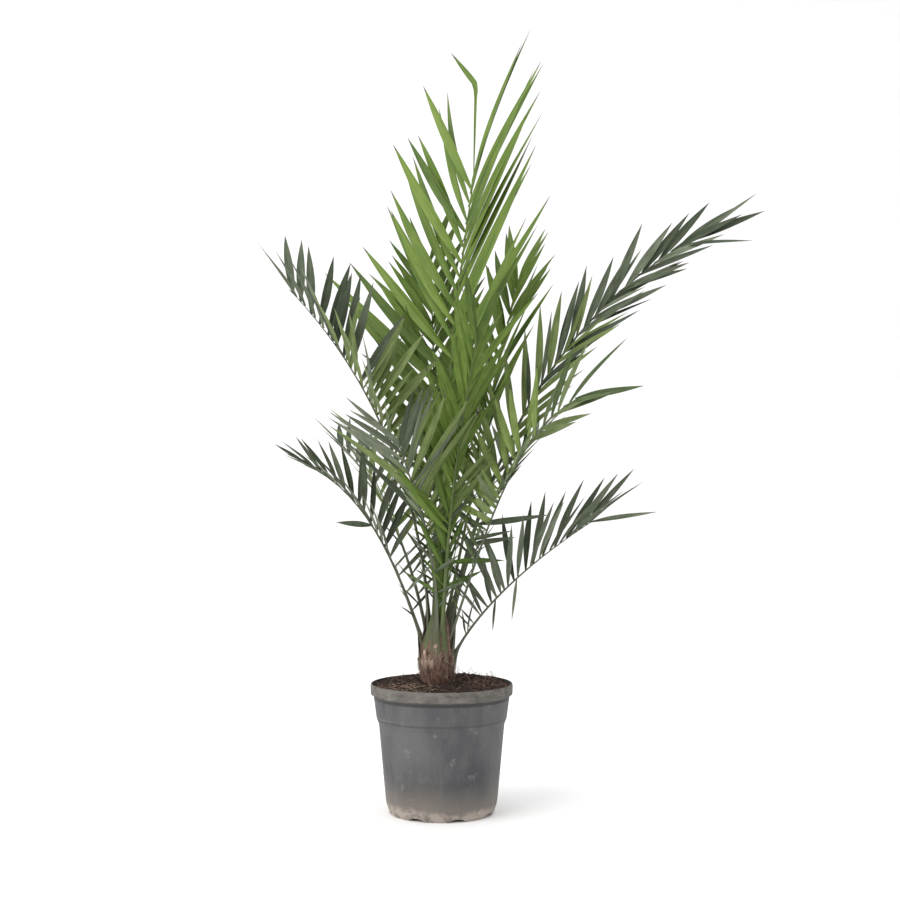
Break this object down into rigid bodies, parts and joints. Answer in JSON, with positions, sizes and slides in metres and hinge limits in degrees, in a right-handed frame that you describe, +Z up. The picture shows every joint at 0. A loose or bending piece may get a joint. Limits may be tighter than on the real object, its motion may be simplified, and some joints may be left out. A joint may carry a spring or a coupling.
{
  "type": "canary island date palm in a nursery pot",
  "caption": "Young feather palm with arching fronds on a short fibrous stem, growing in a round tapered plastic pot filled with soil.",
  "frame": {"origin": "centre of the pot's flat underside, on the ground", "axes": "+Z up along the pot's axis; -Y is the side seen from the front and +X is its right"},
  "size_m": [0.87, 0.6316, 1.3343],
  "materials": {
    "pot": "dusty slate grey moulded plastic with a brownish rim",
    "soil": "dark loose potting soil with bits of bark",
    "stem": "red-brown matted fibre",
    "young_frond": "fresh green leaf, slightly waxy",
    "old_frond": "dull grey-green leaf"
  },
  "bodies": {
    "root": {"pot": "pot", "soil": "soil", "stem": "stem", "frond_centre": "young_frond", "frond_back_left": "young_frond", "frond_back_right": "young_frond", "frond_inner": "young_frond", "frond_left_front": "old_frond", "frond_left_lower": "old_frond", "frond_left_upper": "old_frond", "frond_rear": "old_frond", "frond_rear_left": "old_frond", "frond_rear_right": "old_frond", "frond_right_lower": "old_frond", "frond_right_mid": "old_frond", "frond_right_upper": "old_frond"}
  },
  "joints": []
}
